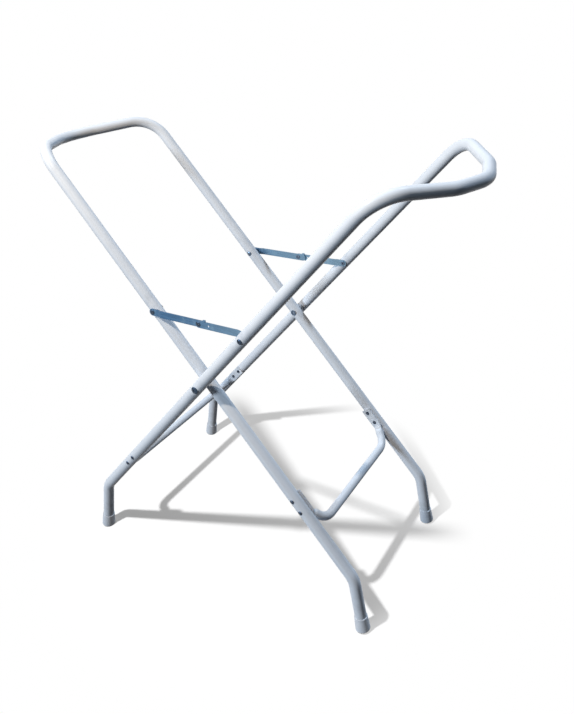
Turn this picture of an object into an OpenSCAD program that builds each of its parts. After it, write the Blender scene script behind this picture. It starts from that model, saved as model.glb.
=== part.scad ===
// Folding stand for a baby bath.
// Two bent steel tube frames cross in an X and turn on two long rivets. Each frame ends at
// the top in a loop that leans outward to carry the rim of a bath, and at the bottom in two
// capped feet. A crossbar holds each pair of legs apart, and a two-link brace on each side,
// above the crossing, pulls straight against its stop tab when the stand is open.
// Millimetres. +Z is up, and the origin is on the floor under the middle of the stand.
// The outer frame's loop is at +X, the inner frame's loop at -X, left is +Y, right is -Y.

/* [Frame tube] */
// Outside diameter of the frame tube
tube_d = 22; // [20:0.5:25]
// Wall thickness of the frame tube
tube_wall = 1.2; // [0.8:0.1:2]
// Centre-line radius of the bends above the feet
foot_bend_r = 45; // [35:1:60]

/* [Stance] */
// Height of the crossing rivets above the floor
pivot_h = 432; // [400:1:460]
// Slope of the inner frame's legs above the floor, in degrees
inner_slope = 47.8; // [45:0.1:52]
// Slope of the outer frame's legs above the floor, in degrees
outer_slope = 49.5; // [45:0.1:52]
// Distance from the middle of the stand to the centre line of an inner leg
inner_half_w = 157; // [145:1:180]
// Free space across, between an inner leg and the outer leg beside it
leg_gap = 8; // [7.8:0.1:12]

/* [Legs] */
// Distance from the crossing down to the foot bend, inner frame
inner_lower_leg = 439; // [425:1:450]
// Distance from the crossing down to the foot bend, outer frame
outer_lower_leg = 422; // [410:1:440]
// Outward lean of the feet from upright, in degrees
foot_splay = 9.4; // [4:0.1:14]

/* [Top loop] */
// Distance from the crossing up to the corner where the loop starts
upper_leg = 536; // [500:1:570]
// Angle between the loop and the legs, in degrees
loop_tilt = 57; // [45:1:65]
// Depth of the loop from its start to its outer corners
loop_depth = 78; // [72:1:100]
// How far the outer corners lie in from the legs
loop_inset = 110; // [102:1:115]
// Rake of each half of the bowed bar, in degrees
bar_rake = 17; // [10:1:22]
// Centre-line radius where the loop leaves the legs
loop_start_r = 70; // [50:1:74]
// Centre-line radius of the outer corners
loop_corner_r = 70; // [40:1:72]
// Centre-line radius in the middle of the bowed bar
bar_mid_r = 90; // [60:1:95]

/* [Crossbars] */
// Outside diameter of the crossbar tube
bar_d = 16; // [14:0.5:18]
// Wall thickness of the crossbar tube
bar_wall = 1.2; // [0.8:0.1:1.6]
// Distance from the foot bend up to the inner crossbar's fastening
inner_bar_up = 162.5; // [150:0.5:175]
// Distance from the foot bend up to the outer crossbar's fastening
outer_bar_up = 131.5; // [120:0.5:145]
// Distance from that fastening down to the middle of the bar
bar_drop = 56; // [52:1:70]
// Width of the crossbar's pressed ends
pad_w = 20.5; // [19:0.5:23]
// Length of the pressed ends
pad_l = 40; // [36:1:44]
// Distance between the two rivets of a pressed end
bar_rivet_pitch = 24; // [20:1:26]

/* [Braces] */
// Distance from the crossing up to the brace rivet, inner frame
inner_brace_at = 160; // [140:1:180]
// Distance from the crossing up to the brace rivet, outer frame
outer_brace_at = 165; // [140:1:180]
// Width of the brace strap
strap_w = 13.5; // [12:0.5:16]
// Thickness of the brace strap
strap_t = 2; // [1.6:0.1:2]
// Step of the strap away from the leg it is riveted to
strap_step = 1.8; // [1.6:0.1:1.9]
// Distance from the middle rivet to the stop tab
tab_at = 12; // [11:0.5:14]
// Length of the stop tab along the strap
tab_l = 5; // [4:0.5:6]
// Distance from the middle rivet to the hole in the outer link
strap_hole_at = 22; // [21:1:30]
// Diameter of that hole
strap_hole_d = 4; // [3:0.5:5]

/* [Rivets] */
// Diameter of the crossing rivets
pivot_rivet_d = 8; // [6:0.5:9]
// Diameter of the brace rivets
brace_rivet_d = 6; // [5:0.5:7]
// Diameter of the crossbar rivets
bar_rivet_d = 4.8; // [4:0.2:5.4]
// Height of a rivet head over a strap
strap_head_h = 1.2; // [0.9:0.1:1.3]
// Outside diameter of the crossing spacers
spacer_d = 15; // [12:0.5:18]

/* [Feet] */
// Wall of the foot cap at its mouth
cap_wall = 1.3; // [1:0.1:2]
// Wall of the foot cap just above its sole
cap_base_wall = 2.8; // [2:0.1:4]
// Height of the foot cap along the foot
cap_h = 28; // [24:1:36]
// Thickness of the foot cap's sole
cap_sole = 6; // [5:0.5:9]

/* [Clearances] */
// Play of a turning rivet in its hole, on the radius
turn_play = 0.05; // [0.02:0.01:0.1]
// Play of a fixed piece against the piece it sits on
seat_play = 0.1; // [0.05:0.05:0.2]

/* [Hidden] */
$fn = 64;
white_paint = "#eceef4";
zinc = "#8fa3b8";
pale_plastic = "#d9dade";
nylon = "#e8e8e6";
fine = 144;                     // facets of the bends and domes
past = 1;                       // how far a cutting tool runs past a face
join = 0.01;                    // how much thinner a bend is than a straight run, on the radius
join_l = 1;                     // length of the taper by which a run enters a bend
join_taper = 0.05;              // how much a run loses there, on the radius
join_angle = 0.3;               // how far a bend runs into the straights beside it, in degrees
tube_r = tube_d / 2;
outer_half_w = inner_half_w + tube_d + leg_gap;
inner_bar_at = inner_lower_leg - inner_bar_up;      // from the crossing down to the crossbar
outer_bar_at = outer_lower_leg - outer_bar_up;
cap_r = tube_r + cap_base_wall;
pad_t = 2 * bar_wall;           // a pressed end is the tube's two walls, flat together
press_run = 14;                 // length over which it opens to the round tube
press_lap = 1;                  // how far this stretch runs into the pieces at its ends
press_less = 0.1;               // how much smaller it is than the flat end there
lead_angle = 25;                // slant of the crossbar where it is round again, in degrees
lead = 2;                       // straight length there
lead_less = 0.3;                // how much thinner than the tube the stretch ends
slit = 0.2;                     // thickness of the hollow where the walls part
slice = 0.02;                   // thickness of the two sections that a stretch spans
cap_round = 3;                  // rounding of the sole's edge
cap_centre_h = 0.6;             // height of the sole's centre over the floor
head_h = 1.6;                   // height of a rivet head on a tube
head_share = 1.75;              // head diameter over shank diameter
tail_share = 1.5;               // rolled tail's diameter over shank diameter
tail_round = 0.4;               // rounding of the rolled tail over its height
dimple_share = 0.45;            // diameter of the hollow in a head over the shank
rivet_split = 0.3;              // gap where the inner brace rivet is opened
rivet_spare = 10;               // length of the tool that cuts a rivet in two
pad_more = 6;                   // a link's pad beyond the strap's half width
tail_more = 3;                  // the inner link's end beyond the stop tab
tab_more = 0.4;                 // how far the stop tab reaches past the other link
tab_root = 1;                   // how deep the tab is rooted in its link

// Point of a frame's plane: along is up the leg from the crossing, out leans to the loop's side.
function leg_point(slope, along, out, y) =
    [along * cos(slope) + out * sin(slope), y, along * sin(slope) - out * cos(slope)];
// Point of a frame's loop, out from where the loop leaves the legs.
function loop_point(slope, out, y) =
    leg_point(slope, upper_leg + out * cos(loop_tilt), out * sin(loop_tilt), y);
function unit(v) = v / norm(v);
// Direction of a path's run i, bend angle at its point i, and what the bend takes of a run.
function way(p, i) = unit(p[i + 1] - p[i]);
function bend(p, i) = acos(way(p, i - 1) * way(p, i));
function trim(p, r, i) = r[i] == 0 ? 0 : r[i] * tan(bend(p, i) / 2);
// A path up to the middle plane y = 0 or a last run across it, and its mirror image back again.
function flip(v) = [v[0], -v[1], v[2]];
function there_and_back(half) =
    let (last = len(half) - 1, back_from = half[last][1] == 0 ? last - 1 : last)
    concat(half, [for (i = [back_from : -1 : 0]) flip(half[i])]);

// Reach of the loop's middle from its start, in the loop's own plane.
function corner_y(half_w) = half_w - loop_inset;
function loop_reach(half_w) =
    loop_depth + corner_y(half_w) * tan(bar_rake) - bar_mid_r * (1 / cos(bar_rake) - 1);
// Reach of a frame from the crossing to the outside of its loop.
function frame_reach(slope, half_w) =
    upper_leg * cos(slope) + loop_reach(half_w) * cos(slope - loop_tilt) + tube_r;
pivot_x = (frame_reach(inner_slope, inner_half_w) - frame_reach(outer_slope, outer_half_w)) / 2;

// Height of the foot bend over the floor, and length of the straight foot under it.
function bend_h(slope, lower) = pivot_h - lower * sin(slope);
function foot_len(slope, lower) =
    (bend_h(slope, lower) - cap_centre_h) / cos(foot_splay);

// Brace geometry, in the plane across the crossing. The links differ in length by as much as
// their rivets differ in height on the legs, so the brace folds up flat along them.
inner_end = [-inner_brace_at * cos(inner_slope), inner_brace_at * sin(inner_slope)];
outer_end = [outer_brace_at * cos(outer_slope), outer_brace_at * sin(outer_slope)];
brace_l = norm(outer_end - inner_end);
inner_link_l = (brace_l + outer_brace_at - inner_brace_at) / 2;
outer_link_l = brace_l - inner_link_l;
brace_rise = atan2(outer_end[1] - inner_end[1], outer_end[0] - inner_end[0]);
middle = inner_end + inner_link_l * [cos(brace_rise), sin(brace_rise)];

// Places across, measured outward from the inner leg's outer face (g = 0 to leg_gap).
gap_y = inner_half_w + tube_r;
inner_pad_g = seat_play;                            // inner link's pad, face near the inner leg
inner_strap_g = inner_pad_g + strap_step;           // its main length
outer_pad_g = leg_gap - seat_play - strap_t;        // outer link's pad
outer_strap_g = outer_pad_g - strap_step;           // its main length
pad_run = strap_w / 2 + pad_more;                   // length of a link's pad from its rivet
step_run = 8;                                       // length of the slanted step
tail_l = tab_at + tab_l / 2 + tail_more;            // inner link's length past the middle

// ---------------------------------------------------------------- general shapes

// Moves children so that their X, Y and Z run along x, y and z from the point at.
module placed(at, x, y, z) {
    multmatrix([
        [x[0], y[0], z[0], at[0]],
        [x[1], y[1], z[1], at[1]],
        [x[2], y[2], z[2], at[2]],
        [0, 0, 0, 1]
    ]) children();
}

module ring(d, wall) {
    difference() {
        circle(d = d);
        circle(d = d - 2 * wall);
    }
}

// A rod along the path p, bent at each inner point to the centre-line radius r[i], whose ends
// run on by more. Its bends are join thinner on the radius than its straight runs, which taper
// into them, so that they meet without a flat step.
module bent_rod(p, r, d, more = 0) {
    last = len(p) - 1;
    for (i = [0 : last - 1]) {
        from = p[i] + way(p, i) * (i == 0 ? -more : trim(p, r, i));
        to = p[i + 1] - way(p, i) * (i + 1 == last ? -more : trim(p, r, i + 1));
        if (norm(to - from) > join_l)
            run(from, to, d / 2, i == 0 ? 0 : join_l, i + 1 == last ? 0 : join_l);
    }
    for (i = [1 : last - 1]) {
        way_in = way(p, i - 1);
        centre = p[i] + unit(way(p, i) - way_in) * r[i] / cos(bend(p, i) / 2);
        x = unit(p[i] - way_in * trim(p, r, i) - centre);
        placed(centre, x, way_in, cross(x, way_in)) rotate([0, 0, -join_angle])
            rotate_extrude(angle = bend(p, i) + 2 * join_angle, $fn = fine)
                translate([r[i], 0]) circle(d = d - 2 * join);
    }
}

// A straight run between two points, which tapers beyond them over start_l and end_l.
module run(from, to, r, start_l, end_l) {
    z = unit(to - from);
    x = unit(cross([0, 1, join], z));
    length = norm(to - from);
    placed(from, x, cross(z, x), z) rotate_extrude() polygon([
        [0, -start_l], [r - join_taper * sign(start_l), -start_l], [r, 0],
        [r, length], [r - join_taper * sign(end_l), length + end_l], [0, length + end_l]
    ]);
}

// Children and their mirror image in the plane across the middle, y = 0.
module both_sides() {
    for (flip = [0, 1]) mirror([0, flip, 0]) children();
}

// A frame is drawn with its crossing at the origin and its loop at +X.
module at_outer() {
    translate([pivot_x, 0, pivot_h]) children();
}
module at_inner() {
    translate([pivot_x, 0, pivot_h]) mirror([1, 0, 0]) children();
}

// A cylinder along Y through both legs, at a place along them.
module across(slope, along, r, half) {
    translate(leg_point(slope, along, 0, -half)) rotate([-90, 0, 0])
        cylinder(r = r, h = 2 * half);
}

// ---------------------------------------------------------------- frames

module frame(slope, half_w, lower, brace_at, bar_at) {
    foot_l = foot_len(slope, lower) - cap_sole - seat_play;
    // Half of the centre line, from the end of the left foot to the middle of the bowed bar.
    half = [
        leg_point(slope, -lower, 0, half_w) + foot_l * [-sin(foot_splay), 0, -cos(foot_splay)],
        leg_point(slope, -lower, 0, half_w), loop_point(slope, 0, half_w),
        loop_point(slope, loop_depth, corner_y(half_w)),
        loop_point(slope, loop_depth + corner_y(half_w) * tan(bar_rake), 0)
    ];
    half_r = [0, foot_bend_r, loop_start_r, loop_corner_r, bar_mid_r];
    path = there_and_back(half);
    last = len(path) - 1;
    radii = [for (i = [0 : last]) half_r[min(i, last - i)]];
    across_l = half_w + tube_d;
    difference() {
        bent_rod(path, radii, tube_d);
        bent_rod(path, radii, tube_d - 2 * tube_wall, past);
        across(slope, 0, pivot_rivet_d / 2 + turn_play, across_l);
        across(slope, brace_at, brace_rivet_d / 2 + turn_play, across_l);
        for (side = [-1, 1])
            across(slope, side * bar_rivet_pitch / 2 - bar_at, bar_rivet_d / 2 + turn_play, across_l);
    }
}

module outer_frame() {
    color(white_paint) at_outer()
        frame(outer_slope, outer_half_w, outer_lower_leg, outer_brace_at, outer_bar_at);
}

module inner_frame() {
    color(white_paint) at_inner()
        frame(inner_slope, inner_half_w, inner_lower_leg, inner_brace_at, inner_bar_at);
}

// ---------------------------------------------------------------- crossbars

// A bent tube whose ends are pressed flat and riveted to the insides of the legs. In its own
// plane X runs down the legs from the crossing, Y across and Z out of the frame.
module crossbar(slope, half_w, bar_at) {
    inside = half_w - tube_r - seat_play;           // the face that a pressed end sits on
    pad_end = bar_at + pad_l / 2;
    middle_at = bar_at + bar_drop;
    mouth = [pad_end + press_run, inside - bar_d / 2 - seat_play, 0];  // round again from here
    corner = [middle_at, mouth[1] - (middle_at - mouth[0]) * tan(lead_angle), 0];
    corner_r = (norm(corner - mouth) - lead) / tan((90 - lead_angle) / 2);
    path = there_and_back([mouth, corner]);
    down = [-cos(slope), 0, -sin(slope)];
    placed([0, 0, 0], down, [0, 1, 0], cross(down, [0, 1, 0])) difference() {
        union() {
            bent_rod(path, [0, corner_r, corner_r], bar_d);
            both_sides() {
                pressed(bar_at - pad_l / 2, inside - pad_t / 2, pad_l, pad_w, pad_t);
                press_lead(pad_end - press_lap, inside - pad_t / 2, pad_w - press_less,
                    pad_t - press_less, mouth, bar_d - lead_less);
            }
        }
        bent_rod(path, [0, corner_r, corner_r], bar_d - 2 * bar_wall);
        both_sides()
            press_lead(pad_end + press_lap, inside - pad_t / 2, pad_w - 2 * bar_wall, slit,
                mouth, bar_d - 2 * bar_wall - lead_less);
        for (side = [-1, 1]) translate([bar_at + side * bar_rivet_pitch / 2, -half_w, 0])
            rotate([-90, 0, 0]) cylinder(r = bar_rivet_d / 2 + turn_play, h = 2 * half_w);
    }
}

// A length of flat tube, w wide and t thick with round edges, from x = at.
module pressed(at, y, length, w, t) {
    translate([at, y, 0]) rotate([0, 90, 0]) linear_extrude(height = length) {
        square([w - t, t], center = true);
        for (side = [-1, 1]) translate([side * (w - t) / 2, 0]) circle(d = t, $fn = fine / 6);
    }
}

// The stretch over which a flat end opens to the round tube.
module press_lead(at, y, w, t, mouth, round_d) {
    hull() {
        pressed(at, y, slice, w, t);
        translate(mouth) rotate([0, 90, -lead_angle]) translate([0, 0, press_lap])
            cylinder(d = round_d, h = slice, $fn = fine / 4);
    }
}

module outer_crossbar() {
    color(white_paint) at_outer() crossbar(outer_slope, outer_half_w, outer_bar_at);
}

module inner_crossbar() {
    color(white_paint) at_inner() crossbar(inner_slope, inner_half_w, inner_bar_at);
}

// ---------------------------------------------------------------- feet

// A tapered plastic cap pressed over the end of a foot, cut level where it stands on the floor.
module foot_cap(slope, half_w, lower) {
    bore_r = tube_r + seat_play;
    lean = foot_splay;
    block = 2 * cap_r;                              // size of the block that cuts it level
    foot_end = leg_point(slope, -lower, 0, half_w)
        + foot_len(slope, lower) * [-sin(lean), 0, -cos(lean)];
    difference() {
        translate(foot_end) rotate([0, lean, 0]) rotate_extrude() difference() {
            union() {
                square([cap_r - cap_round, cap_h]);
                translate([cap_r - cap_round, cap_round]) circle(r = cap_round);
                polygon([
                    [0, cap_round], [cap_r, cap_round], [tube_r + cap_wall, cap_h], [0, cap_h]
                ]);
            }
            translate([-cap_r, -past]) square([cap_r, cap_h + 2 * past]);
            translate([0, cap_sole]) square([bore_r, cap_h]);
        }
        translate([foot_end[0] - block, foot_end[1] - block, -pivot_h - block])
            cube([2 * block, 2 * block, block]);
    }
}

module outer_foot(side) {
    color(pale_plastic) at_outer() foot_cap(outer_slope, side * outer_half_w, outer_lower_leg);
}
module inner_foot(side) {
    color(pale_plastic) at_inner() foot_cap(inner_slope, side * inner_half_w, inner_lower_leg);
}

// ---------------------------------------------------------------- rivets

// A rivet along +Z: its head ends at z = 0 on one side of what it holds, its rolled tail
// starts at z = grip on the other side.
module rivet(d, grip, head, tail) {
    head_r = d * head_share / 2;
    tail_r = d * tail_share / 2;
    edge = tail * tail_round;
    dimple_r = d * dimple_share / 2;
    dome = (head_r * head_r + head * head) / (2 * head);
    rotate_extrude() difference() {
        union() {
            translate([0, -join]) square([d / 2, grip + 2 * join]);
            intersection() {
                translate([0, dome - head]) circle(r = dome, $fn = fine);
                translate([0, -head]) square([head_r, head]);
            }
            translate([0, grip]) square([tail_r, tail - edge]);
            translate([0, grip]) square([tail_r - edge, tail]);
            translate([tail_r - edge, grip + tail - edge]) circle(r = edge);
        }
        translate([-2 * head_r, -2 * head]) square([2 * head_r, grip + 4 * head + 2 * tail]);
        translate([0, -head - past]) square([dimple_r, head + past]);
        translate([0, grip - tail]) square([dimple_r, 3 * tail]);
    }
}

// Puts a rivet on a side at across, pointing inward to the middle of the stand.
module inward(side, point, y) {
    translate([point[0], side * y, point[1]]) rotate([side * 90, 0, 0]) children();
}

function flat(slope, along) = [along * cos(slope), along * sin(slope)];

module pivot_rivet(side) {
    color(zinc) at_outer() inward(side, [0, 0], outer_half_w + tube_r)
        rivet(pivot_rivet_d, outer_half_w - inner_half_w + tube_d + seat_play, head_h, head_h);
}

module pivot_spacer(side) {
    color(nylon) at_outer() inward(side, [0, 0], outer_half_w - tube_r - seat_play)
        linear_extrude(height = leg_gap - 2 * seat_play)
            ring(spacer_d, (spacer_d - pivot_rivet_d) / 2 - turn_play);
}

module crossbar_rivets(slope, half_w, bar_at) {
    for (side = [-1, 1], place = [-1, 1])
        inward(side, flat(slope, -bar_at + place * bar_rivet_pitch / 2), half_w + tube_r)
            rivet(bar_rivet_d, tube_d + seat_play + pad_t, head_h, head_h);
}

module outer_crossbar_rivets() {
    color(zinc) at_outer() crossbar_rivets(outer_slope, outer_half_w, outer_bar_at);
}

module inner_crossbar_rivets() {
    color(zinc) at_inner() crossbar_rivets(inner_slope, inner_half_w, inner_bar_at);
}

// The outer brace rivet runs through the outer leg and its link.
module outer_brace_rivet(side) {
    color(zinc) at_outer() inward(side, outer_end, outer_half_w + tube_r)
        rivet(brace_rivet_d, tube_d + leg_gap - outer_pad_g, head_h, strap_head_h);
}

// The inner brace rivet is in two pieces, so that the folding linkage is open there: the
// shank stays in the inner leg, and the rolled tail turns with the inner link.
module inner_brace_rivet(side) {
    grip = tube_d + inner_pad_g - rivet_split;
    color(zinc) at_outer() translate([inner_end[0], side * (inner_half_w - tube_r), inner_end[1]])
        rotate([-side * 90, 0, 0]) difference() {
            rivet(brace_rivet_d, grip + past, head_h, past);
            translate([0, 0, grip]) cylinder(d = 4 * brace_rivet_d, h = rivet_spare);
        }
}

module inner_rivet_tail(side) {
    color(zinc) at_outer() inward(side, inner_end, gap_y + inner_pad_g + strap_t)
        difference() {
            rivet(brace_rivet_d, strap_t + past, strap_head_h, past);
            translate([0, 0, strap_t]) cylinder(d = 4 * brace_rivet_d, h = rivet_spare);
        }
}

module link_rivet(side) {
    color(zinc) at_outer() inward(side, middle, gap_y + outer_strap_g + strap_t)
        rivet(brace_rivet_d, outer_strap_g + strap_t - inner_strap_g, strap_head_h, strap_head_h);
}

// ---------------------------------------------------------------- brace links

// A link along +X from its frame rivet. Y is the strap's width and Z its thickness, with the
// frame's leg below z = 0. The pad lies at z = 0 and the rest is stepped up by strap_step.
module link(length, tail, tab_reach) {
    whole = length + tail;
    difference() {
        union() {
            intersection() {
                translate([0, 0, -past]) linear_extrude(height = 4 * strap_t) {
                    circle(d = strap_w);
                    translate([0, -strap_w / 2]) square([whole - strap_w / 2, strap_w]);
                    translate([whole - strap_w / 2, 0]) circle(d = strap_w);
                }
                rotate([90, 0, 0]) translate([0, 0, -strap_w]) linear_extrude(height = 2 * strap_w)
                    polygon([
                        [-strap_w, 0], [pad_run, 0], [pad_run + step_run, strap_step],
                        [whole + past, strap_step], [whole + past, strap_step + strap_t],
                        [pad_run + step_run, strap_step + strap_t], [pad_run, strap_t],
                        [-strap_w, strap_t]
                    ]);
            }
            if (tab_reach > 0) stop_tab(length, tab_reach);
        }
        for (x = [0, length]) translate([x, 0, -past])
            cylinder(d = brace_rivet_d + 2 * turn_play, h = 4 * strap_t);
    }
}

// The tab bends over the upper edge of the other link and stops it when the brace is straight.
module stop_tab(length, reach) {
    translate([length + tab_at - tab_l / 2, strap_w / 2 - tab_root, strap_step])
        cube([tab_l, strap_t + tab_root + seat_play, strap_t]);
    translate([length + tab_at - tab_l / 2, strap_w / 2 + seat_play, strap_step])
        cube([tab_l, strap_t, reach]);
}

// Axes for a link at a frame rivet: X along the brace, Y up across it, Z away from the leg.
module along_brace(side, point, y, angle, z_way) {
    x = [cos(angle), 0, sin(angle)];
    up = [-sin(brace_rise), 0, cos(brace_rise)];
    placed([point[0], side * y, point[1]], x, up, [0, side * z_way, 0]) children();
}

module inner_link(side) {
    color(zinc) at_outer()
        along_brace(side, inner_end, gap_y + inner_pad_g, brace_rise, 1)
            link(inner_link_l, tail_l, outer_strap_g + strap_t - inner_strap_g + tab_more);
}

module outer_link(side) {
    color(zinc) at_outer() difference() {
        along_brace(side, outer_end, gap_y + outer_pad_g + strap_t, brace_rise + 180, -1)
            link(outer_link_l, strap_w / 2, 0);
        inward(side, middle + strap_hole_at * [cos(brace_rise), sin(brace_rise)], gap_y + leg_gap)
            cylinder(d = strap_hole_d, h = leg_gap);
    }
}

// ---------------------------------------------------------------- the stand

outer_frame();
inner_frame();
outer_crossbar();
inner_crossbar();
outer_foot(1);  // outer_foot_left
outer_foot(-1);  // outer_foot_right
inner_foot(1);  // inner_foot_left
inner_foot(-1);  // inner_foot_right
outer_crossbar_rivets();
inner_crossbar_rivets();
pivot_rivet(1);  // pivot_rivet_left
pivot_rivet(-1);  // pivot_rivet_right
pivot_spacer(1);  // pivot_spacer_left
pivot_spacer(-1);  // pivot_spacer_right
outer_link(1);  // outer_link_left
outer_link(-1);  // outer_link_right
inner_link(1);  // inner_link_left
inner_link(-1);  // inner_link_right
link_rivet(1);  // link_rivet_left
link_rivet(-1);  // link_rivet_right
outer_brace_rivet(1);  // outer_brace_rivet_left
outer_brace_rivet(-1);  // outer_brace_rivet_right
inner_brace_rivet(1);  // inner_brace_rivet_left
inner_brace_rivet(-1);  // inner_brace_rivet_right
inner_rivet_tail(1);  // inner_rivet_tail_left
inner_rivet_tail(-1);  // inner_rivet_tail_right
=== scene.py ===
"""Looks of a folding baby bath stand: smooth tubes, finishes, floor, light and camera."""
import math
from collections import namedtuple

import bmesh
import bpy
from mathutils import Matrix, Vector


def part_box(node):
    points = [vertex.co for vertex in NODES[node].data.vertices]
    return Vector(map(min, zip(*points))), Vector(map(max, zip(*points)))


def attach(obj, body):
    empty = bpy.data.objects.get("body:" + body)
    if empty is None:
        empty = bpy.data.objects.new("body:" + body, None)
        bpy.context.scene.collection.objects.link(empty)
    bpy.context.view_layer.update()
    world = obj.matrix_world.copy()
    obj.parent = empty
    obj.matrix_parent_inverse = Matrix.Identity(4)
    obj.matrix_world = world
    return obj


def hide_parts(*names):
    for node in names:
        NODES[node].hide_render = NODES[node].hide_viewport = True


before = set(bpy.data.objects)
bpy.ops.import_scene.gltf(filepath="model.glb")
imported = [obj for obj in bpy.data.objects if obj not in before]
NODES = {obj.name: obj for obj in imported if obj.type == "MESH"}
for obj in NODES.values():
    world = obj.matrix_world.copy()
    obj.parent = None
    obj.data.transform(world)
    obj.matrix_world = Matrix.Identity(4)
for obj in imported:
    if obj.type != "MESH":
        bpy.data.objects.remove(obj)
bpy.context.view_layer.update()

# ---------------------------------------------------------------- the source's sizes
# Lengths in metres, angles in radians. Radii of bends are those of the tube's centre line.
PIVOT = (0.001232, 0.0, 0.432)              # the crossing, midway between the sides
TUBE_R = 0.011
UPPER_LEG = 0.536                           # crossing to the start of the loop
FOOT_SPLAY = math.radians(9.4)              # foot from upright
FOOT_BEND_R = 0.045
LOOP_TILT = math.radians(57)                # loop's plane from the legs' line
LOOP_DEPTH = 0.078                          # start of the loop to its corners, in its plane
LOOP_INSET = 0.110                          # corners in from the legs
LOOP_START_R = 0.070
LOOP_CORNER_R = 0.070
BAR_RAKE = math.radians(17)                 # rake of each half of the loop's bowed bar
BAR_MID_R = 0.090
CAP_CENTRE_H = 0.0006                       # middle of a cap's sole over the floor
CAP_SOLE = 0.006
CAP_HALF_H = 0.014                          # half the height of a cap
SEAT = 0.0001                               # play of a fixed piece
BAR_R = 0.008                               # crossbar tube
BAR_WALL = 0.0012
BAR_DROP = 0.056                            # crossbar's fastening down to the middle of the bar
BAR_LEAD = 0.002                            # straight stretch before the crossbar's bend
BAR_RIVET_PITCH = 0.024
PAD_W = 0.0205                              # the crossbar's pressed ends
PAD_L = 0.040
PRESS_RUN = 0.014                           # length over which a pressed end opens to a tube
LEAD_ANGLE = math.radians(25)               # slant of the crossbar where it is round again

# slope is the legs' angle from level and half_w their distance from the stand's middle plane.
# lower is from the crossing to the foot bend, bar_at from the crossing down to the crossbar's
# fastening, and way the side of the loop along X.
Legs = namedtuple("Legs", "slope half_w lower bar_at way")
FRAMES = {
    "outer": Legs(math.radians(49.5), 0.187, 0.422, 0.2905, 1),
    "inner": Legs(math.radians(47.8), 0.157, 0.439, 0.2765, -1),
}
SIDES = ("left", "right")


def middle(node):
    """The middle of a node's box."""
    low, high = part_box(node)
    return (low + high) / 2


# ---------------------------------------------------------------- node trees
class Tree:
    """A material's node tree, with short calls for the nodes used here."""

    def __init__(self, name):
        self.mat = bpy.data.materials.new(name)
        self.mat.use_nodes = True
        self.nt = self.mat.node_tree
        self.nt.nodes.clear()
        self.out = self.add("ShaderNodeOutputMaterial")
        self.place = self.add("ShaderNodeTexCoord").outputs["Object"]

    def add(self, kind, **settings):
        node = self.nt.nodes.new(kind)
        for key, value in settings.items():
            setattr(node, key, value)
        return node

    def put(self, socket, value):
        """Links an output, or sets a plain value."""
        if isinstance(value, bpy.types.NodeSocket):
            self.nt.links.new(value, socket)
        else:
            socket.default_value = value

    def math(self, operation, a, b):
        node = self.add("ShaderNodeMath", operation=operation)
        self.put(node.inputs[0], a)
        self.put(node.inputs[1], b)
        return node.outputs[0]

    def times(self, a, b):
        return self.math("MULTIPLY", a, b)

    def ramp(self, value, low, high, to_low=0.0, to_high=1.0):
        """value from low..high to to_low..to_high, smooth and clamped."""
        node = self.add("ShaderNodeMapRange", interpolation_type="SMOOTHSTEP")
        for i, v in enumerate((value, low, high, to_low, to_high)):
            self.put(node.inputs[i], v)
        return node.outputs[0]

    def moved(self, offset=(0, 0, 0), scale=(1, 1, 1)):
        node = self.add("ShaderNodeMapping")
        self.put(node.inputs["Vector"], self.place)
        self.put(node.inputs["Location"], offset)
        self.put(node.inputs["Scale"], scale)
        return node.outputs[0]

    def noise(self, at, scale, detail, rough=0.55, warp=0.0):
        node = self.add("ShaderNodeTexNoise")
        self.put(node.inputs["Vector"], at)
        self.put(node.inputs["Scale"], scale)
        self.put(node.inputs["Detail"], detail)
        self.put(node.inputs["Roughness"], rough)
        self.put(node.inputs["Distortion"], warp)
        return node.outputs["Fac"]

    def cells(self, at, scale, out):
        node = self.add("ShaderNodeTexVoronoi")
        self.put(node.inputs["Vector"], at)
        self.put(node.inputs["Scale"], scale)
        return node.outputs[out]

    def mix(self, share, a, b):
        node = self.add("ShaderNodeMix", data_type="RGBA")
        self.put(node.inputs["Factor"], share)
        self.put(node.inputs["A"], a)
        self.put(node.inputs["B"], b)
        return node.outputs["Result"]

    def distance(self, point, at=None):
        node = self.add("ShaderNodeVectorMath", operation="DISTANCE")
        self.put(node.inputs[0], self.place if at is None else at)
        self.put(node.inputs[1], tuple(point))
        return node.outputs["Value"]

    def near(self, points, reach, fade, at=None):
        """1 within reach of any of the points, 0 beyond reach + fade."""
        total = None
        for point in points:
            part = self.ramp(self.distance(point, at), reach, reach + fade, 1.0, 0.0)
            total = part if total is None else self.math("MAXIMUM", total, part)
        return total

    def axis(self, letter):
        node = self.add("ShaderNodeSeparateXYZ")
        self.put(node.inputs[0], self.place)
        return node.outputs[letter]

    def bump(self, height, strength, distance, below=None):
        node = self.add("ShaderNodeBump")
        self.put(node.inputs["Height"], height)
        self.put(node.inputs["Strength"], strength)
        self.put(node.inputs["Distance"], distance)
        if below is not None:
            self.put(node.inputs["Normal"], below)
        return node.outputs[0]

    def either(self, share, a, b):
        """Shader a where share is 0, shader b where it is 1."""
        node = self.add("ShaderNodeMixShader")
        self.put(node.inputs[0], share)
        self.put(node.inputs[1], a)
        self.put(node.inputs[2], b)
        return node.outputs[0]

    def shader(self, colour, rough, normal, metallic=0.0, specular=0.5):
        node = self.add("ShaderNodeBsdfPrincipled")
        self.put(node.inputs["Base Color"], colour)
        self.put(node.inputs["Roughness"], rough)
        self.put(node.inputs["Normal"], normal)
        node.inputs["Metallic"].default_value = metallic
        node.inputs["Specular IOR Level"].default_value = specular
        self.put(self.out.inputs["Surface"], node.outputs[0])
        return self.mat


def rgb(r, g, b):
    """An 8-bit screen colour as linear light."""
    def linear(v):
        v /= 255
        return v / 12.92 if v <= 0.04045 else ((v + 0.055) / 1.055) ** 2.4
    return (linear(r), linear(g), linear(b), 1.0)


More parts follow.
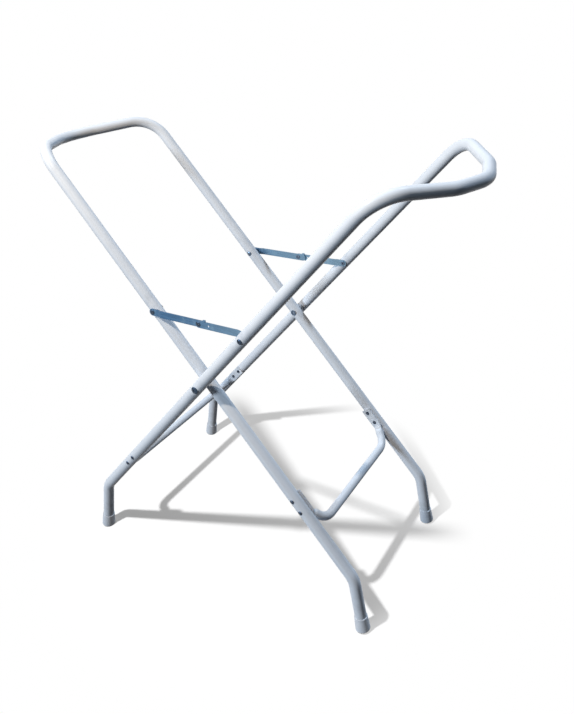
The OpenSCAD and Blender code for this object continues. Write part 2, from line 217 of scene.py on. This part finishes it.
def shaded(colour, share):
    """The colour with its light multiplied by share."""
    return tuple(min(1.0, c * share) for c in colour[:3]) + (1.0,)


# ---------------------------------------------------------------- finishes
PAINT = rgb(226, 230, 238)
PAINT_LIGHT = rgb(233, 236, 242)
PAINT_DEEP = rgb(219, 224, 233)
PAINT_RUBBED = rgb(188, 194, 204)
PAINT_DUST = rgb(176, 174, 170)
PAINT_SPECK = rgb(120, 126, 138)
BARE_STEEL = rgb(96, 104, 118)
# pale zinc: for real paler patches, and for a painted sheen on the straps
ZINC_PALE_AND_SHEEN = rgb(140, 168, 184)
# a painted glint in the middle of each rivet head
RIVET_PAINTED_GLINT = rgb(206, 216, 224)
# Crossbar rivets: zinc painted dark, a painted reflection of dark surroundings.
BAR_RIVET_PAINTED_DARK = rgb(58, 68, 84)
# Strap zinc, one tone per side: the right side's darker tone is painted shade.
STRAP_LIT_AND_SHADED = {"left": rgb(112, 145, 172), "right": rgb(72, 110, 146)}
# Rivet zinc per side, painted dark as a painted reflection of dark surroundings; the right side's darker
# tone is painted shade.
RIVET_SHADED_BY_SIDE = {"left": rgb(104, 120, 140), "right": rgb(58, 73, 91)}
# The spacers' grey is darkened to the shade in the gap between the legs: painted shade.
SPACER_SHADED_GREY = (rgb(150, 156, 166), rgb(132, 138, 150))
CAP = (rgb(226, 228, 234), rgb(214, 218, 226))
CAP_BASE_DARK = rgb(90, 84, 86)
STRAP_SHEEN_X = (-0.08, 0.14)                # over this stretch of x a strap turns paler: a painted sheen
DUST_Z = (0.02, 0.13)                       # over this stretch of height the dust thins out
RUB_REACH, RUB_FADE = 0.014, 0.03
CHIP_REACH, CHIP_FADE = 0.0045, 0.0045
# soft edge of the rivets' painted glints
GLINT_FADE = 0.0004
PEEL_H = 0.00022                            # height of the paint's orange peel
FINE_H = 0.0001                             # height of every other bump


def powder_coat(name, rubbed, bare, seed):
    """Pale blue-grey powder coat: orange peel, tone drift, specks and dust, with worn spots.

    The paint is thin near the rubbed points and chipped near the bare ones.
    """
    t = Tree(name)
    at = t.moved(offset=(seed, seed * 0.7, 0))
    drift = t.noise(at, scale=7, detail=3)
    fine = t.noise(at, scale=65, detail=4, rough=0.6)
    colour = t.mix(t.ramp(drift, 0.3, 0.7), PAINT, PAINT_LIGHT)
    colour = t.mix(t.ramp(fine, 0.35, 0.75, 0, 0.35), colour, PAINT_DEEP)
    wiped = t.times(t.near(rubbed, RUB_REACH, RUB_FADE), t.ramp(fine, 0.4, 0.62))
    colour = t.mix(t.times(wiped, 0.35), colour, PAINT_RUBBED)
    dust = t.times(t.ramp(t.axis("Z"), *DUST_Z, 1, 0), t.ramp(fine, 0.38, 0.7))
    colour = t.mix(t.times(dust, 0.3), colour, PAINT_DUST)
    specks = t.ramp(t.cells(at, scale=240, out="Distance"), 0.05, 0.09, 1, 0)
    specks = t.times(specks, t.ramp(t.noise(at, scale=18, detail=2), 0.58, 0.66))
    colour = t.mix(t.times(specks, 0.55), colour, PAINT_SPECK)
    flaked = t.ramp(t.noise(at, scale=420, detail=3), 0.47, 0.55)
    chips = t.times(t.near(bare, CHIP_REACH, CHIP_FADE), flaked)
    colour = t.mix(t.times(chips, 0.75), colour, BARE_STEEL)
    rough = t.ramp(t.noise(at, scale=28, detail=3), 0.3, 0.7, 0.3, 0.42)
    rough = t.math("ADD", rough, t.times(dust, 0.2))
    peel = t.noise(at, scale=620, detail=2, rough=0.5)
    normal = t.bump(peel, strength=0.08, distance=PEEL_H)
    normal = t.bump(t.times(chips, -1.0), strength=0.5, distance=FINE_H, below=normal)
    return t.shader(colour, rough, normal, specular=0.12)


def zinc_strap(name, tone, seed):
    """Blue-passivated zinc strap: rolled streaks, spangle, paler patches, and a painted sheen paler
    towards +X.
    """
    t = Tree(name)
    along = t.moved(offset=(seed, 0, 0), scale=(22, 900, 900))
    streak = t.noise(along, scale=1, detail=4, rough=0.6)
    spangle = t.add("ShaderNodeRGBToBW")
    t.put(spangle.inputs[0], t.cells(t.moved(offset=(seed, 0, seed)), scale=260, out="Color"))
    cloud = t.noise(t.moved(offset=(seed, 0, 0)), scale=45, detail=3)
    colour = t.mix(t.ramp(streak, 0.3, 0.7), shaded(tone, 0.78), shaded(tone, 1.3))
    colour = t.mix(t.times(spangle.outputs[0], 0.28), colour, shaded(tone, 0.6))
    colour = t.mix(t.ramp(cloud, 0.55, 0.75, 0, 0.4), colour, ZINC_PALE_AND_SHEEN)
    # A painted sheen: the strap turns paler towards +X.
    colour = t.mix(t.ramp(t.axis("X"), *STRAP_SHEEN_X, 0, 0.5), colour, ZINC_PALE_AND_SHEEN)
    rough = t.ramp(cloud, 0.3, 0.7, 0.27, 0.42)
    normal = t.bump(streak, strength=0.22, distance=FINE_H)
    normal = t.bump(spangle.outputs[0], strength=0.1, distance=FINE_H, below=normal)
    return t.shader(colour, rough, normal, metallic=0.9)


def zinc_rivet(name, tone, centres, glint_r, seed):
    """Set rivet: plated steel, a dull dome with a painted glint of that radius in its middle."""
    t = Tree(name)
    cloud = t.noise(t.moved(offset=(seed, seed, 0)), scale=300, detail=3, rough=0.6)
    ring = t.noise(t.moved(offset=(0, seed, 0), scale=(900, 60, 900)), scale=1, detail=2)
    colour = t.mix(t.ramp(cloud, 0.35, 0.7), tone, shaded(tone, 0.6))
    on_axes = [(p[0], 0, p[2]) for p in centres]
    # A painted glint: the middle of each rivet head is paler.
    bright = t.near(on_axes, glint_r, GLINT_FADE, at=t.moved(scale=(1, 0, 1)))
    colour = t.mix(t.times(bright, 0.85), colour, RIVET_PAINTED_GLINT)
    rough = t.ramp(cloud, 0.3, 0.7, 0.25, 0.42)
    normal = t.bump(ring, strength=0.2, distance=FINE_H)
    return t.shader(colour, rough, normal, metallic=0.9)


def moulded(name, tones, dark_top, seed):
    """Moulded plastic: satin grain, faint flow marks, and darker in patches towards the bottom, up to the
    given height.
    """
    t = Tree(name)
    at = t.moved(offset=(seed, 0, seed))
    flow = t.noise(at, scale=30, detail=3, warp=0.6)
    grain = t.noise(at, scale=1500, detail=2)
    colour = t.mix(t.ramp(flow, 0.3, 0.7), *tones)
    if dark_top > 0:
        # Darker in patches towards the bottom.
        patchy = t.ramp(t.noise(at, scale=220, detail=4), 0.3, 0.7)
        darker_low = t.times(t.ramp(t.axis("Z"), 0.0, dark_top, 1, 0), patchy)
        colour = t.mix(t.times(darker_low, 0.7), colour, CAP_BASE_DARK)
    rough = t.ramp(flow, 0.3, 0.7, 0.42, 0.58)
    normal = t.bump(grain, strength=0.25, distance=FINE_H)
    return t.shader(colour, rough, normal, specular=0.45)


# ---------------------------------------------------------------- tubes
AROUND = 48                                 # points round a tube
ARC_STEP = math.radians(2.5)                # most that a tube turns from ring to ring
PRESS_STEPS = 14                            # steps from a pressed end to the round tube
SHARP_EDGE = math.radians(35)               # an edge past this angle isn't shaded smooth
FIRST_NORMAL = Vector((0, 1, 0.01))         # says only where the first ring starts
ACROSS = Vector((0, 1, 0))


def arc_path(points, radii):
    """The points of a path whose inner corners are rounded to the given radii."""
    path = [points[0]]
    for before, corner, after, radius in zip(points, points[1:], points[2:], radii[1:]):
        way_in = (corner - before).normalized()
        way_out = (after - corner).normalized()
        turn = way_in.angle(way_out)
        start = corner - way_in * radius * math.tan(turn / 2)
        side = (way_out - way_in * way_out.dot(way_in)).normalized()
        count = max(2, math.ceil(turn / ARC_STEP))
        for i in range(count + 1):
            a = turn * i / count
            path.append(start + way_in * radius * math.sin(a) + side * radius * (1 - math.cos(a)))
    return path + [points[-1]]


def heading(path, i):
    """The path's direction at its point i."""
    return (path[min(i + 1, len(path) - 1)] - path[max(i - 1, 0)]).normalized()


def ring_path(path, radius):
    """Rings round a path, each turned as little as possible from the last."""
    rings = []
    normal = FIRST_NORMAL
    angles = [2 * math.pi * k / AROUND for k in range(AROUND)]
    for i, point in enumerate(path):
        way = heading(path, i)
        normal = (normal - way * normal.dot(way)).normalized()
        side = way.cross(normal)
        rings.append([point + (normal * math.cos(a) + side * math.sin(a)) * radius for a in angles])
    return rings


def skin(name, rings, body, node, material):
    """A closed smooth piece over rings of points, which rides on body and stands for node."""
    mesh = bpy.data.meshes.new(name)
    verts = [p for ring in rings for p in ring]
    faces = []
    for i in range(len(rings) - 1):
        for k in range(AROUND):
            n = (k + 1) % AROUND
            low, high = i * AROUND, (i + 1) * AROUND
            faces.append((low + k, low + n, high + n, high + k))
    faces.append(tuple(reversed(range(AROUND))))
    faces.append(tuple(range((len(rings) - 1) * AROUND, len(rings) * AROUND)))
    mesh.from_pydata(verts, [], faces)
    tool = bmesh.new()
    tool.from_mesh(mesh)
    bmesh.ops.recalc_face_normals(tool, faces=tool.faces)
    tool.to_mesh(mesh)
    tool.free()
    mesh.shade_smooth()
    mesh.set_sharp_from_angle(angle=SHARP_EDGE)
    piece = bpy.data.objects.new(name, mesh)
    bpy.context.collection.objects.link(piece)
    mesh.materials.append(material)
    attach(piece, body)
    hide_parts(node)


def leg_point(kind, along, out, y):
    """A point of a frame's plane: along runs up the leg from the crossing, out to the loop's side."""
    legs = FRAMES[kind]
    x = along * math.cos(legs.slope) + out * math.sin(legs.slope)
    z = PIVOT[2] + along * math.sin(legs.slope) - out * math.cos(legs.slope)
    return Vector((PIVOT[0] + legs.way * x, y, z))


def frame_tube(kind, material):
    """The bent tube of a frame, from one foot round the loop to the other."""
    legs = FRAMES[kind]
    knee = leg_point(kind, -legs.lower, 0, legs.half_w)
    foot = (knee.z - CAP_CENTRE_H) / math.cos(FOOT_SPLAY) - CAP_SOLE - SEAT
    down = Vector((-legs.way * math.sin(FOOT_SPLAY), 0, -math.cos(FOOT_SPLAY)))
    corner_y = legs.half_w - LOOP_INSET
    bow = corner_y * math.tan(BAR_RAKE)

    def loop(out, y):
        return leg_point(kind, UPPER_LEG + out * math.cos(LOOP_TILT), out * math.sin(LOOP_TILT), y)

    half = [knee + down * foot, knee, loop(0, legs.half_w), loop(LOOP_DEPTH, corner_y)]
    points = half + [loop(LOOP_DEPTH + bow, 0)] + [Vector((p.x, -p.y, p.z)) for p in reversed(half)]
    half_r = [0, FOOT_BEND_R, LOOP_START_R, LOOP_CORNER_R]
    radii = half_r + [BAR_MID_R] + half_r[::-1]
    rings = ring_path(arc_path(points, radii), TUBE_R)
    skin(f"{kind}_frame_tube", rings, kind, f"{kind}_frame", material)


def flat_ring(width, thick):
    """AROUND points of a flat pressed tube, as (across its thickness, along its width)."""
    round_r = thick / 2
    straight, curve = width - thick, math.pi * round_r
    whole = 2 * (straight + curve)
    points = []
    for k in range(AROUND):
        s = (k / AROUND * whole + straight / 2 + curve / 2) % whole
        if s < curve:
            a = s / round_r - math.pi / 2
            points.append((round_r * math.sin(a), straight / 2 + round_r * math.cos(a)))
        elif s < curve + straight:
            points.append((round_r, straight / 2 - (s - curve)))
        elif s < 2 * curve + straight:
            a = (s - curve - straight) / round_r + math.pi / 2
            points.append((round_r * math.sin(a), -straight / 2 + round_r * math.cos(a)))
        else:
            points.append((-round_r, -straight / 2 + s - 2 * curve - straight))
    return points


def crossbar_line(kind):
    """A crossbar's centre line, as points (down the leg, across, 0) and how round each section is."""
    legs = FRAMES[kind]
    inside = legs.half_w - TUBE_R - SEAT
    flat_y = inside - BAR_WALL
    pad_end = legs.bar_at + PAD_L / 2
    middle_at = legs.bar_at + BAR_DROP
    slant = math.tan(LEAD_ANGLE)
    mouth = Vector((pad_end + PRESS_RUN, inside - BAR_R - SEAT, 0))
    corner = Vector((middle_at, mouth.y - (middle_at - mouth.x) * slant, 0))
    radius = ((corner - mouth).length - BAR_LEAD) / math.tan((math.pi / 2 - LEAD_ANGLE) / 2)
    half = [(Vector((legs.bar_at - PAD_L / 2, flat_y, 0)), 0.0)]
    # A cubic, which leaves the pressed end straight and reaches the mouth at the slant.
    for i in range(PRESS_STEPS + 1):
        s = i / PRESS_STEPS
        drop = (flat_y - mouth.y) * (3 * s * s - 2 * s ** 3) + PRESS_RUN * slant * (s ** 3 - s * s)
        half.append((Vector((pad_end + PRESS_RUN * s, flat_y - drop, 0)), s * s * (3 - 2 * s)))
    bent = arc_path([mouth, corner, Vector((corner.x, 0, 0))], [0, radius, 0])
    half += [(p, 1.0) for p in bent[1:]]
    return half + [(Vector((p.x, -p.y, 0)), share) for p, share in reversed(half[:-1])]


def crossbar_tube(kind, material):
    """A bent tube whose ends are pressed flat: the section changes smoothly from flat to round."""
    line = crossbar_line(kind)
    path = [point for point, _ in line]
    origin = leg_point(kind, 0, 0, 0)
    down = leg_point(kind, -1, 0, 0) - origin
    out = leg_point(kind, 0, 1, 0) - origin
    flat = flat_ring(PAD_W, 2 * BAR_WALL)
    rings = []
    for i, (point, share) in enumerate(line):
        way = heading(path, i)
        normal = Vector((-way.y, way.x, 0))
        ring = []
        for k, (a, b) in enumerate(flat):
            turn = 2 * math.pi * k / AROUND
            a += (BAR_R * math.sin(turn) - a) * share
            b += (BAR_R * math.cos(turn) - b) * share
            place = point + normal * a
            ring.append(origin + down * place.x + ACROSS * place.y + out * b)
        rings.append(ring)
    skin(f"{kind}_crossbar_tube", rings, kind, f"{kind}_crossbar", material)


# ---------------------------------------------------------------- dressing
# Radii of the painted glints in the middle of the rivets, and the height up to which a cap is darker
# towards the floor
BAR_GLINT_R, PIVOT_GLINT_R, BRACE_GLINT_R = 0.0009, 0.0012, 0.0010
CAP_DARK_TOP = 0.0035


def dress(nodes, material):
    """The nodes' material slots all take the material."""
    for name in nodes:
        for slot in NODES[name].material_slots:
            slot.material = material


# The last value that each finish is given is its seed, which only shifts its patterns.
pivots = [(PIVOT[0], y * legs.half_w, PIVOT[2]) for legs in FRAMES.values() for y in (-1, 1)]
for kind, seed in (("outer", 1.3), ("inner", 4.1)):
    braces = [middle(f"{kind}_brace_rivet_{side}") for side in SIDES]
    mouths = [middle(f"{kind}_foot_{side}") + Vector((0, 0, CAP_HALF_H)) for side in SIDES]
    frame_tube(kind, powder_coat(f"{kind}_frame_coat", pivots + braces, mouths, seed))
    legs = FRAMES[kind]
    holes = [leg_point(kind, end * BAR_RIVET_PITCH / 2 - legs.bar_at, 0, 0) for end in (-1, 1)]
    spots = [(p.x, y, p.z) for p in holes for y in (-legs.half_w, legs.half_w)]
    crossbar_tube(kind, powder_coat(f"{kind}_crossbar_coat", spots, spots, seed + 5))
    rivet = zinc_rivet(f"{kind}_crossbar_rivet_zinc", BAR_RIVET_PAINTED_DARK, holes, BAR_GLINT_R, 2.0)
    dress([f"{kind}_crossbar_rivets"], rivet)
for i, side in enumerate(SIDES):
    for k, kind in enumerate(FRAMES):
        strap = zinc_strap(f"{kind}_link_zinc_{side}", STRAP_LIT_AND_SHADED[side], 1.0 + i + 4 * k)
        dress([f"{kind}_link_{side}"], strap)
    rivet = zinc_rivet(f"pivot_rivet_zinc_{side}", RIVET_SHADED_BY_SIDE[side], [PIVOT], PIVOT_GLINT_R, 3.0 + i)
    dress([f"pivot_rivet_{side}"], rivet)
    heads = [f"{part}_rivet_{side}" for part in ("link", "outer_brace", "inner_brace")]
    centres = [middle(name) for name in heads]
    rivet = zinc_rivet(f"brace_rivet_zinc_{side}", RIVET_SHADED_BY_SIDE[side], centres, BRACE_GLINT_R, 6.0 + i)
    dress(heads + [f"inner_rivet_tail_{side}"], rivet)
    dress([f"pivot_spacer_{side}"], moulded(f"spacer_nylon_{side}", SPACER_SHADED_GREY, 0, 2.0 + i))
    for kind in FRAMES:
        cap = moulded(f"{kind}_foot_plastic_{side}", CAP, CAP_DARK_TOP, 4.0 + i)
        dress([f"{kind}_foot_{side}"], cap)

# ---------------------------------------------------------------- floor, light, world
FLOOR_HALF = 15.0
FLOOR_DROP = 0.0002                         # the floor lies this far under the caps
floor_mesh = bpy.data.meshes.new("floor")
corners = [(x * FLOOR_HALF, y * FLOOR_HALF, -FLOOR_DROP) for x, y in ((-1, -1), (1, -1), (1, 1), (-1, 1))]
floor_mesh.from_pydata(corners, [], [(0, 1, 2, 3)])
floor = bpy.data.objects.new("floor", floor_mesh)
bpy.context.collection.objects.link(floor)


def seen_rays(nt):
    """1 for rays that show the background: straight to the camera, or by way of gloss or glass."""
    path = nt.nodes.new("ShaderNodeLightPath")
    total = path.outputs["Is Camera Ray"]
    for name in ("Is Glossy Ray", "Is Transmission Ray"):
        both = nt.nodes.new("ShaderNodeMath")
        both.operation = "MAXIMUM"
        nt.links.new(total, both.inputs[0])
        nt.links.new(path.outputs[name], both.inputs[1])
        total = both.outputs[0]
    return total


LAMP_AT = Vector((-0.206, -0.708, 1.535))   # casts the floor's shadows where the photo has them
KEY_AT = Vector((-0.258, -0.885, 1.794))    # LAMP_AT, a quarter farther from the stand's middle
KEY_WATTS = 57.0
LAMP_SOFT = 0.030                           # radius of both these lamps
LAMP_ON_FLOOR = 0.80                        # what the lamp adds to the floor right under it
SUN_SPREAD = math.radians(10)
FLOOR_TONE, BOUNCE_TONE = 0.40, 0.05
FILL = (0.016, 0.030, 0.048)
# The floor's shadows are whole within SHADOW_FULL of this point and gone at SHADOW_END.
SHADOW_CENTRE, SHADOW_FULL, SHADOW_END = (-0.05, 0.0, 0.0), 0.36, 0.50
WHITE = (1.0, 1.0, 1.0)


def floor_material():
    """White where nothing shades it: a glow makes up what the lamp and the fill leave."""
    t = Tree("pale_floor")
    shown = t.add("ShaderNodeBsdfDiffuse")
    shown.inputs["Color"].default_value = (FLOOR_TONE, FLOOR_TONE, FLOOR_TONE, 1)
    # A lamp's light on a level floor goes with the cube of its height over its distance.
    nearness = t.math("DIVIDE", LAMP_AT.z, t.distance(LAMP_AT))
    lit = t.times(t.math("POWER", nearness, 3.0), LAMP_ON_FLOOR)
    left = t.add("ShaderNodeVectorMath", operation="SUBTRACT")
    t.put(left.inputs[0], tuple(1 - FLOOR_TONE * fill for fill in FILL))
    t.put(left.inputs[1], lit)
    glow = t.add("ShaderNodeEmission")
    t.put(glow.inputs["Color"], left.outputs[0])
    bright = t.add("ShaderNodeAddShader")
    t.put(bright.inputs[0], shown.outputs[0])
    t.put(bright.inputs[1], glow.outputs[0])
    clear = t.add("ShaderNodeEmission")
    outward = t.ramp(t.distance(SHADOW_CENTRE), SHADOW_FULL, SHADOW_END)
    faded = t.either(outward, bright.outputs[0], clear.outputs[0])
    bounce = t.add("ShaderNodeBsdfDiffuse")
    bounce.inputs["Color"].default_value = (BOUNCE_TONE, BOUNCE_TONE, BOUNCE_TONE, 1)
    t.put(t.out.inputs["Surface"], t.either(seen_rays(t.nt), bounce.outputs[0], faded))
    return t.mat


floor.data.materials.append(floor_material())


def studio_world():
    """A low fill light; white where the background shows."""
    world = bpy.data.worlds.new("studio")
    world.use_nodes = True
    nt = world.node_tree
    nt.nodes.clear()
    fill = nt.nodes.new("ShaderNodeBackground")
    fill.inputs["Color"].default_value = FILL + (1,)
    white = nt.nodes.new("ShaderNodeBackground")
    white.inputs["Color"].default_value = WHITE + (1,)
    either = nt.nodes.new("ShaderNodeMixShader")
    nt.links.new(seen_rays(nt), either.inputs[0])
    nt.links.new(fill.outputs[0], either.inputs[1])
    nt.links.new(white.outputs[0], either.inputs[2])
    nt.links.new(either.outputs[0], nt.nodes.new("ShaderNodeOutputWorld").inputs["Surface"])
    bpy.context.scene.world = world


studio_world()


def lamp(name, kind, colour, state, **settings):
    """A lamp that lights only the floor (INCLUDE), or everything but the floor (EXCLUDE)."""
    data = bpy.data.lights.new(name, kind)
    data.color = colour
    for key, value in settings.items():
        setattr(data, key, value)
    light = bpy.data.objects.new(name, data)
    bpy.context.collection.objects.link(light)
    group = bpy.data.collections.new(f"{name}_link")
    group.objects.link(floor)
    light.light_linking.receiver_collection = group
    group.collection_objects[0].light_linking.link_state = state
    return light


# The power at which the floor's tone shows LAMP_ON_FLOOR right under the lamp
floor_watts = LAMP_ON_FLOOR / FLOOR_TONE * 4 * math.pi ** 2 * LAMP_AT.z ** 2
for name, place, watts, colour, state in (
    ("key", KEY_AT, KEY_WATTS, (1.0, 0.90, 0.77), "EXCLUDE"),
    ("floor_lamp", LAMP_AT, floor_watts, WHITE, "INCLUDE"),
):
    point = lamp(name, "POINT", colour, state, energy=watts, shadow_soft_size=LAMP_SOFT)
    point.location = place
# name, way to the sun, strength, colour
for name, way, strength, colour in (
    ("left", (-0.50, -0.80, 0.30), 1.95, (0.74, 0.87, 1.0)),
    ("top", (0.10, 0.50, 0.86), 1.95, (0.67, 0.83, 1.0)),
):
    sun = lamp(name, "SUN", colour, "EXCLUDE", energy=strength, angle=SUN_SPREAD)
    sun.rotation_mode = "QUATERNION"
    sun.rotation_quaternion = Vector(way).to_track_quat("Z", "Y")

# ---------------------------------------------------------------- camera
IMAGE_W, IMAGE_H = 574, 714                 # the photo's size in pixels
FOCAL_PX = 729.51
CENTRE_PX = (287.0, 229.12)                 # where the camera's axis meets the photo
# The camera's place and its picture's axes in the stand's frame, fitted to points of the photo
CAMERA_AT = (0.75293, -1.05652, 1.14643)
RIGHT = Vector((0.85236, 0.52156, -0.03832))
DOWN = Vector((0.14951, -0.31324, -0.93783))
FORWARD = Vector((-0.50113, 0.79364, -0.34497))
cam_data = bpy.data.cameras.new("photo_view")
cam_data.sensor_width = 36.0
cam_data.lens = FOCAL_PX * cam_data.sensor_width / IMAGE_H
cam_data.shift_x = (IMAGE_W / 2 - CENTRE_PX[0]) / IMAGE_H
cam_data.shift_y = (CENTRE_PX[1] - IMAGE_H / 2) / IMAGE_H
cam_data.clip_start = 0.05
cam_data.clip_end = 60.0
camera = bpy.data.objects.new("photo_view", cam_data)
axes = Matrix((RIGHT, -DOWN, -FORWARD)).transposed().to_4x4()
camera.matrix_world = Matrix.Translation(CAMERA_AT) @ axes
bpy.context.collection.objects.link(camera)
bpy.context.scene.camera = camera
bpy.context.scene.view_settings.view_transform = "Standard"
